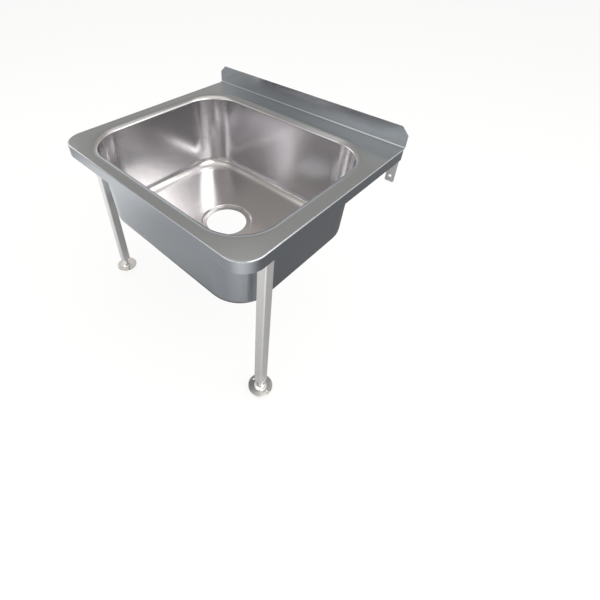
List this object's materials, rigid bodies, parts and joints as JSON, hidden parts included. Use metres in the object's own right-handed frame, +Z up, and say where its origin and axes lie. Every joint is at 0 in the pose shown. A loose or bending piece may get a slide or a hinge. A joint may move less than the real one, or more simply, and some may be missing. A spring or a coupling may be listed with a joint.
{
  "type": "utility sink",
  "caption": "Low-level stainless steel utility sink: folded deck with apron and upstand, pressed bowl with a recessed waste seat, carried by wall-fixed leg frames on screw feet.",
  "frame": {"origin": "on the floor, in the middle of the part's plan", "axes": "+X along the deck to the right, +Y towards the wall, +Z up"},
  "size_m": [0.5426, 0.45, 0.4397],
  "materials": {
    "deck_steel": "satin",
    "bowl_steel": "satin",
    "frame_steel": "satin",
    "foot_steel": "bright"
  },
  "bodies": {
    "frames": {"left_arm_channel": "frame_steel", "left_leg_tube": "frame_steel", "left_wall_lug": "frame_steel", "left_corner_plate": "frame_steel", "left_tube_insert": "foot_steel", "right_arm_channel": "frame_steel", "right_leg_tube": "frame_steel", "right_wall_lug": "frame_steel", "right_corner_plate": "frame_steel", "right_tube_insert": "foot_steel"},
    "sink": {"deck": "deck_steel", "bowl": "bowl_steel"},
    "left_foot": {"left_foot_flange": "foot_steel"},
    "left_stud": {"left_levelling_stud": "foot_steel"},
    "right_foot": {"right_foot_flange": "foot_steel"},
    "right_stud": {"right_levelling_stud": "foot_steel"}
  },
  "joints": [
    {"name": "sink_lift", "type": "slide", "parent": "frames", "child": "sink", "axis": [0, 0, 1], "range_m": [0, 0.22]},
    {"name": "left_foot_height", "type": "slide", "parent": "frames", "child": "left_foot", "axis": [0, 0, -1], "range_m": [-0.01, 0.015]},
    {"name": "left_stud_turn", "type": "hinge", "parent": "left_foot", "child": "left_stud", "pos_m": [-0.2463, -0.1655, 0.0065], "axis": [0, 0, -1], "range_deg": [-2400, 3600]},
    {"name": "right_foot_height", "type": "slide", "parent": "frames", "child": "right_foot", "axis": [0, 0, -1], "range_m": [-0.01, 0.015]},
    {"name": "right_stud_turn", "type": "hinge", "parent": "right_foot", "child": "right_stud", "pos_m": [0.2463, -0.1655, 0.0065], "axis": [0, 0, -1], "range_deg": [-2400, 3600]}
  ],
  "couplings": [
    {"joint": "left_foot_height", "follows": "left_stud_turn", "m_per_rad": 0.00023873},
    {"joint": "right_foot_height", "follows": "right_stud_turn", "m_per_rad": 0.00023873}
  ]
}
